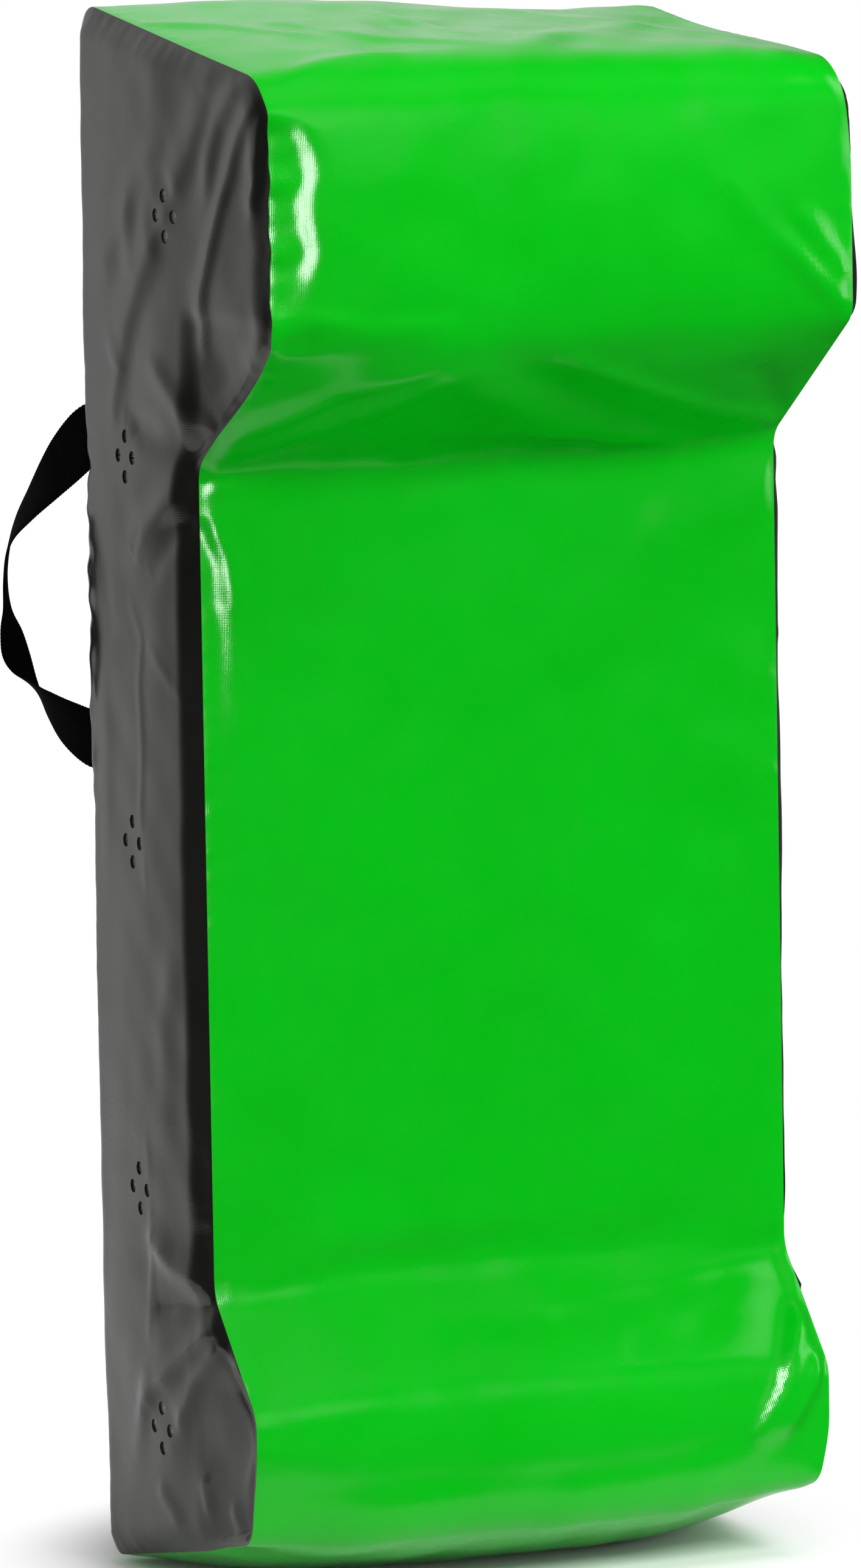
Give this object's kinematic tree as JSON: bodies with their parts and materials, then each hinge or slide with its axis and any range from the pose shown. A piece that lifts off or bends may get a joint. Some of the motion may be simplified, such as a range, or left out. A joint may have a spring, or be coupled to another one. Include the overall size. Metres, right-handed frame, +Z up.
{
  "type": "tackle wedge",
  "caption": "Upright foam tackling pad with an overhanging head, recessed waist and flared foot, in a sewn PVC cover with vent holes, a back zip and webbing grab handles.",
  "frame": {"origin": "On the floor, on the middle plane, half way between the back plane and the waist's front seam.", "axes": "+Z up, +X to the right seen from the front, -Y towards the struck face, +Y towards the handles and the zip."},
  "size_m": [0.5036, 0.4109, 1.048],
  "materials": {
    "green_pvc": "glossy coated tarpaulin, bright green",
    "black_pvc": "glossy coated tarpaulin, black",
    "webbing_black": "ribbed woven webbing, matt black",
    "tape_black": "woven zip tape, matt black",
    "coil_black": "moulded coil, satin black",
    "nickel": "nickel plate",
    "foam_tan": "soft open-cell foam, tan",
    "foam_grey": "firm closed-cell foam board, grey"
  },
  "bodies": {
    "pad": {"cover_back_panel": "black_pvc", "cover_front_panel": "green_pvc", "cover_gusset_left": "black_pvc", "cover_gusset_right": "black_pvc", "foam_back_slab": "foam_grey", "foam_foot_block": "foam_tan", "foam_head_block": "foam_tan", "foam_waist_block": "foam_tan", "handle_left_patch_lower": "black_pvc", "handle_left_patch_upper": "black_pvc", "handle_left_tab_lower": "webbing_black", "handle_left_tab_upper": "webbing_black", "handle_right_patch_lower": "black_pvc", "handle_right_patch_upper": "black_pvc", "handle_right_tab_lower": "webbing_black", "handle_right_tab_upper": "webbing_black", "zip_patch_lower": "black_pvc", "zip_patch_upper": "black_pvc", "zip_row_left": "coil_black", "zip_row_right": "coil_black", "zip_stop_lower": "nickel", "zip_stop_upper": "nickel", "zip_tape_left": "tape_black", "zip_tape_right": "tape_black"},
    "handle_left": {"handle_left_loop": "webbing_black"},
    "handle_right": {"handle_right_loop": "webbing_black"},
    "slider": {"zip_slider": "nickel"},
    "pull": {"zip_pull": "nickel"}
  },
  "joints": [
    {"name": "handle_left_swing", "type": "hinge", "parent": "pad", "child": "handle_left", "pos_m": [-0.195, 0.0933, 0.6585], "axis": [0, 0, 1], "range_deg": [-100, 50]},
    {"name": "handle_right_swing", "type": "hinge", "parent": "pad", "child": "handle_right", "pos_m": [0.195, 0.0933, 0.6585], "axis": [0, 0, 1], "range_deg": [-50, 100]},
    {"name": "zip_slide", "type": "slide", "parent": "pad", "child": "slider", "axis": [0, 0, 1], "range_m": [0, 0.778]},
    {"name": "zip_pull_swing", "type": "hinge", "parent": "slider", "child": "pull", "pos_m": [0, 0.0927, 0.129], "axis": [1, 0, 0], "range_deg": [0, 170]}
  ]
}
